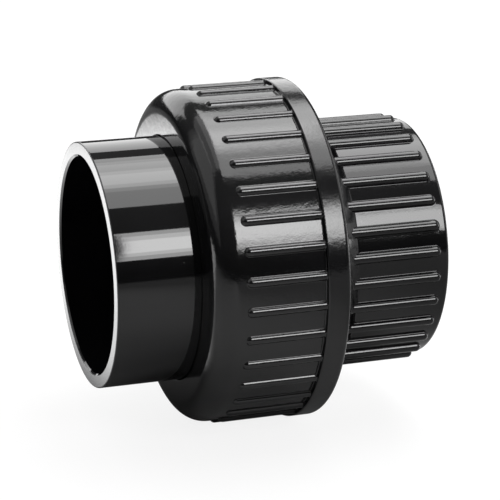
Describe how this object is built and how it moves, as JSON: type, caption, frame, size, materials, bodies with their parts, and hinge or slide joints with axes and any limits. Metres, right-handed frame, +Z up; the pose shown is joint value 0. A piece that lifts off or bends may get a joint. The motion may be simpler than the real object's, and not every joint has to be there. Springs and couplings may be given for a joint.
{
  "type": "pipe union",
  "caption": "Plastic pipe union: plain tail, ribbed threaded nut and ribbed bush with solvent-cement sockets at both ends.",
  "frame": {"origin": "centre of the bush's socket mouth, at the bush's end face", "axes": "+X along the pipe axis, out of the bush's socket; the tail and nut are on the -X side; +Z up"},
  "size_m": [0.0787, 0.08, 0.08],
  "materials": {
    "tail_plastic": "gloss",
    "nut_plastic": "gloss",
    "bush_plastic": "gloss",
    "ring_rubber": "matte"
  },
  "bodies": {
    "bush": {"threaded_body": "bush_plastic", "o_ring": "ring_rubber"},
    "tail": {"socket_tail": "tail_plastic"},
    "nut": {"union_nut": "nut_plastic"}
  },
  "joints": [
    {"name": "tail_slide", "type": "slide", "parent": "bush", "child": "tail", "axis": [-1, 0, 0], "range_m": [0, 0.01386]},
    {"name": "nut_spin", "type": "hinge", "parent": "tail", "child": "nut", "pos_m": [-0.044, 0, 0], "axis": [-1, 0, 0], "range_deg": [0, 2160]}
  ],
  "couplings": [
    {"joint": "tail_slide", "follows": "nut_spin", "m_per_rad": 0.00036749}
  ]
}
